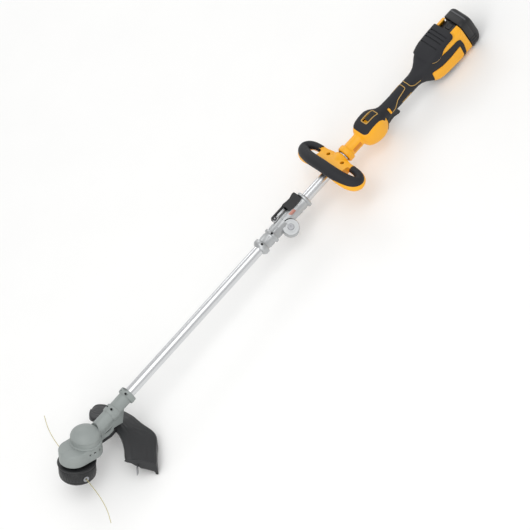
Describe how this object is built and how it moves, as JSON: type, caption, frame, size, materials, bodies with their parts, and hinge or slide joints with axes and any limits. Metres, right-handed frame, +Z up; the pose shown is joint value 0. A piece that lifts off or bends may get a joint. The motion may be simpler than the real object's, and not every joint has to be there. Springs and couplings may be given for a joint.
{
  "type": "string trimmer",
  "caption": "Cordless string trimmer with a folding aluminium shaft, loop handle, rear battery grip, geared motor head, bump-feed line spool and guard",
  "frame": {"origin": "Centre of the base of the bounding box, without the two free line ends, on the ground the trimmer lies on", "axes": "+X runs along the shaft from the battery to the cutting head, +Y is to the user's left, +Z is up. The shaft itself slopes by 1.4 degrees about Y"},
  "size_m": [1.6708, 0.4751, 0.1728],
  "materials": {
    "yellow_nylon": "moulded satin",
    "charcoal_overmould": "moulded matt",
    "black_nylon": "moulded fine texture",
    "cable_sheath": "extruded",
    "potted_electronics": "potted",
    "grey_nylon": "moulded satin",
    "anodised_tube": "drawn and anodised",
    "cast_aluminium": "die cast",
    "steel": "machined",
    "motor_copper": "wound",
    "cell_sleeve": "sleeved",
    "nylon_line": "extruded"
  },
  "bodies": {
    "rear_half": {"rear_housing_left": "yellow_nylon", "rear_housing_right": "yellow_nylon", "ribbed_hood": "charcoal_overmould", "grip_overmould": "charcoal_overmould", "battery_receiver": "black_nylon", "controller_module": "potted_electronics", "trigger_switch": "black_nylon", "trigger_pin": "steel", "trigger_spring": "steel", "upper_cable": "cable_sheath", "upper_cable_guide_ring": "black_nylon", "upper_tube": "anodised_tube", "hinge_rear_casting": "cast_aluminium", "fold_pin": "steel"},
    "trigger_lever": {"trigger": "black_nylon"},
    "lock_off": {"lock_off_button": "yellow_nylon"},
    "selector": {"speed_selector": "black_nylon"},
    "battery": {"battery_case": "black_nylon", "battery_tower": "black_nylon", "battery_cells": "cell_sleeve"},
    "battery_release": {"battery_release_button": "black_nylon"},
    "gauge_button": {"charge_gauge_button": "black_nylon"},
    "loop_handle": {"loop_frame": "yellow_nylon", "loop_grip": "charcoal_overmould", "loop_clamp": "yellow_nylon", "loop_screw_left": "steel", "loop_screw_right": "steel"},
    "front_half": {"hinge_front_casting": "cast_aluminium", "lever_pin": "steel", "lower_tube": "anodised_tube", "lower_cable": "cable_sheath", "head_housing_left": "grey_nylon", "head_housing_right": "grey_nylon", "motor_cover": "grey_nylon", "neck_screw_1": "steel", "neck_screw_2": "steel", "motor_stator": "motor_copper", "spool_bearing": "steel", "guard": "black_nylon", "cutoff_blade": "steel"},
    "hinge_lever": {"latch_lever": "black_nylon"},
    "rotor": {"motor_rotor": "steel"},
    "spool": {"spool_gear": "black_nylon", "spool_shaft": "steel", "spool_housing": "black_nylon", "spool_cap": "black_nylon", "line_reel": "black_nylon", "wound_line": "nylon_line", "line_eyelet_left": "steel", "line_eyelet_right": "steel", "line_end_left": "nylon_line", "line_end_right": "nylon_line", "bump_spring": "steel"},
    "bump": {"bump_knob": "black_nylon"}
  },
  "joints": [
    {"name": "shaft_fold", "type": "hinge", "parent": "rear_half", "child": "front_half", "pos_m": [-0.08281, 0.00421, 0.07764], "axis": [-0.0392, 0.5, 0.8651], "range_deg": [0, 160]},
    {"name": "latch_lever_swing", "type": "hinge", "parent": "front_half", "child": "hinge_lever", "pos_m": [-0.07291, -0.03736, 0.10212], "axis": [-0.0392, 0.5, 0.8651], "range_deg": [0, 75]},
    {"name": "trigger_squeeze", "type": "hinge", "parent": "rear_half", "child": "trigger_lever", "pos_m": [-0.47103, -0.01744, 0.05154], "axis": [0, 1, 0], "range_deg": [0, 7], "stiffness_Nm_per_rad": 0.8, "deforming": ["trigger_spring"]},
    {"name": "lock_off_press", "type": "slide", "parent": "rear_half", "child": "lock_off", "axis": [0, -1, 0], "range_m": [0, 0.003], "stiffness_N_per_m": 600},
    {"name": "speed_select", "type": "slide", "parent": "rear_half", "child": "selector", "axis": [0.999, 0, 0.0453], "range_m": [0, 0.006]},
    {"name": "battery_slide", "type": "slide", "parent": "rear_half", "child": "battery", "axis": [-0.0453, 0, 0.999], "range_m": [0, 0.08]},
    {"name": "battery_release_press", "type": "slide", "parent": "battery", "child": "battery_release", "axis": [0.0453, 0, -0.999], "range_m": [0, 0.003], "stiffness_N_per_m": 800},
    {"name": "charge_gauge_press", "type": "slide", "parent": "battery", "child": "gauge_button", "axis": [0.999, 0, 0.0453], "range_m": [0, 0.0008], "stiffness_N_per_m": 600},
    {"name": "loop_handle_slide", "type": "slide", "parent": "rear_half", "child": "loop_handle", "axis": [0.999, 0, 0.0453], "range_m": [-0.004, 0.06]},
    {"name": "spool_spin", "type": "hinge", "parent": "front_half", "child": "spool", "pos_m": [0.77046, -0.01744, 0.08581], "axis": [-0.4786, 0, 0.878], "continuous": true},
    {"name": "motor_spin", "type": "hinge", "parent": "front_half", "child": "rotor", "pos_m": [0.71571, -0.01744, 0.11291], "axis": [-0.4786, 0, 0.878], "continuous": true},
    {"name": "bump_press", "type": "slide", "parent": "spool", "child": "bump", "axis": [-0.4786, 0, 0.878], "range_m": [0, 0.005], "stiffness_N_per_m": 900, "deforming": ["bump_spring"]}
  ],
  "couplings": [
    {"joint": "motor_spin", "follows": "spool_spin", "ratio": -3.5}
  ]
}
